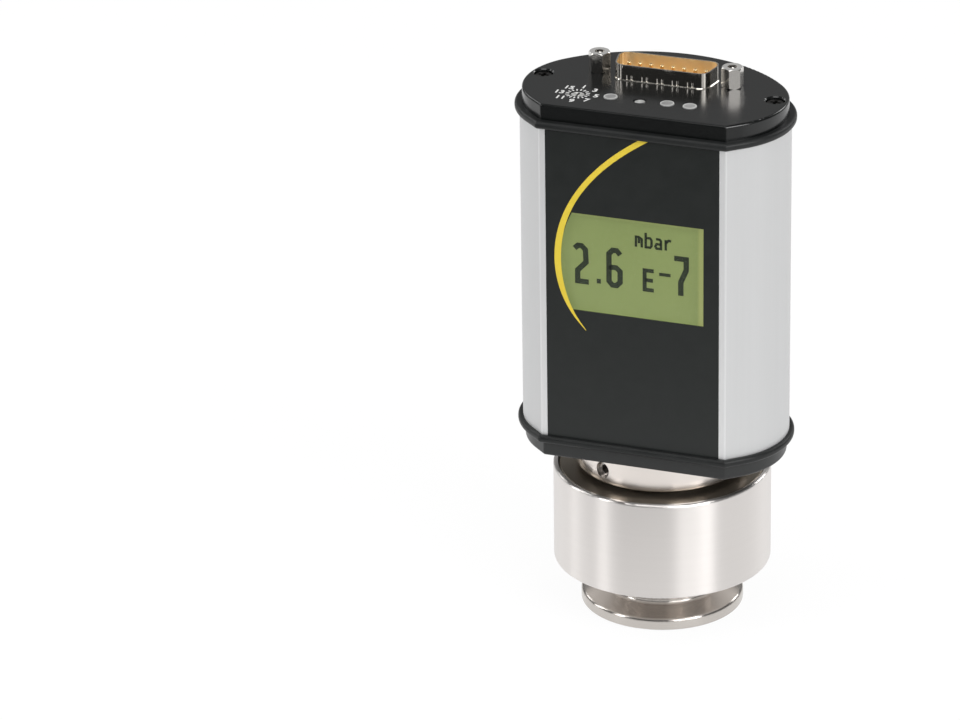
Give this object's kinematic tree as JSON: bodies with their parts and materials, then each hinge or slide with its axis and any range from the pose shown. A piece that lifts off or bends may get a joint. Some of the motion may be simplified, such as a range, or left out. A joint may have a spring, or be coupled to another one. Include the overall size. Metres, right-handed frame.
{
  "type": "vacuum gauge",
  "caption": "Vacuum sensor with a clamp flange, a magnet unit round its tube, and a flat-fronted housing with a display, plug connector, address switch and adjust button.",
  "frame": {"origin": "centre of the clamp flange's sealing face, which is the lowest face and the one it stands on", "axes": "+Z along the sensor tube, from the flange towards the plug connector; the display faces -Y; +X is to the right of someone who reads the display"},
  "size_m": [0.0686, 0.0534, 0.1411],
  "materials": {
    "stainless_turned": "fine turned",
    "polished_can": "polished",
    "magnet": "sintered",
    "dark_iron": "dark satin",
    "spring_steel": "satin",
    "polished_collar": "polished",
    "small_steel": "satin",
    "black_gloss": "glossy moulding",
    "black_satin": "satin moulding",
    "gasket_rubber": "matte",
    "anodised": "satin anodised",
    "film_black": "satin film",
    "clear_pane": "clear",
    "display_green": "backlit",
    "diffuser": "translucent",
    "board_green": "coated",
    "part_black": "moulded",
    "relay_yellow": "moulded",
    "nickel_shell": "nickel plated",
    "insulator_tan": "moulded",
    "gold_contact": "gold plated",
    "black_screw": "blackened",
    "rotor_metal": "bright",
    "frosted": "frosted",
    "lamp_white": "moulded",
    "socket_white": "moulded",
    "ceramic": "sintered",
    "vacuum_steel": "satin"
  },
  "bodies": {
    "housing": {"address_switch_body": "part_black", "adjust_switch_body": "part_black", "anode": "vacuum_steel", "anode_bush": "ceramic", "backlight": "diffuser", "body_extrusion": "anodised", "cathode_plate": "vacuum_steel", "clamp_collar": "polished_collar", "clamp_flange_tube": "stainless_turned", "collar_screw_1": "small_steel", "collar_screw_2": "small_steel", "collar_screw_3": "small_steel", "collar_screw_4": "small_steel", "collar_set_screw": "small_steel", "connector_board": "board_green", "connector_insulator": "insulator_tan", "connector_shell": "nickel_shell", "contact_pins_front": "gold_contact", "contact_pins_rear": "gold_contact", "display_cell": "display_green", "display_pane": "clear_pane", "filament": "vacuum_steel", "filament_pins": "vacuum_steel", "filament_tube": "vacuum_steel", "front_film": "film_black", "header": "stainless_turned", "indicator_lamps": "lamp_white", "jack_nut_left": "small_steel", "jack_nut_right": "small_steel", "jack_screw_left": "nickel_shell", "jack_screw_right": "nickel_shell", "lower_board_link": "part_black", "lower_cap": "black_satin", "lower_case_screw_left": "black_screw", "lower_case_screw_right": "black_screw", "lower_gasket": "gasket_rubber", "magnet_can": "polished_can", "magnet_ring_lower": "magnet", "magnet_ring_upper": "magnet", "main_board": "board_green", "pin_seals": "ceramic", "pole_plate": "dark_iron", "power_board": "board_green", "relay_1": "relay_yellow", "relay_2": "relay_yellow", "sensor_board": "board_green", "sensor_socket": "socket_white", "setpoint_light_pipe_1": "frosted", "setpoint_light_pipe_2": "frosted", "snap_ring": "spring_steel", "status_light_pipe": "frosted", "upper_board_link": "part_black", "upper_cap": "black_gloss", "upper_case_screw_left": "black_screw", "upper_case_screw_right": "black_screw", "upper_gasket": "gasket_rubber", "voltage_module": "part_black"},
    "rotor": {"address_rotor": "rotor_metal"},
    "button": {"adjust_button": "rotor_metal"}
  },
  "joints": [
    {"name": "address_turn", "type": "hinge", "parent": "housing", "child": "rotor", "pos_m": [-0.0167, -0.013, 0.134], "axis": [0, 0, 1], "continuous": true},
    {"name": "adjust_press", "type": "slide", "parent": "housing", "child": "button", "axis": [0, 0, -1], "range_m": [0, 0.00025], "stiffness_N_per_m": 2000, "springref_m": -0.0001}
  ]
}
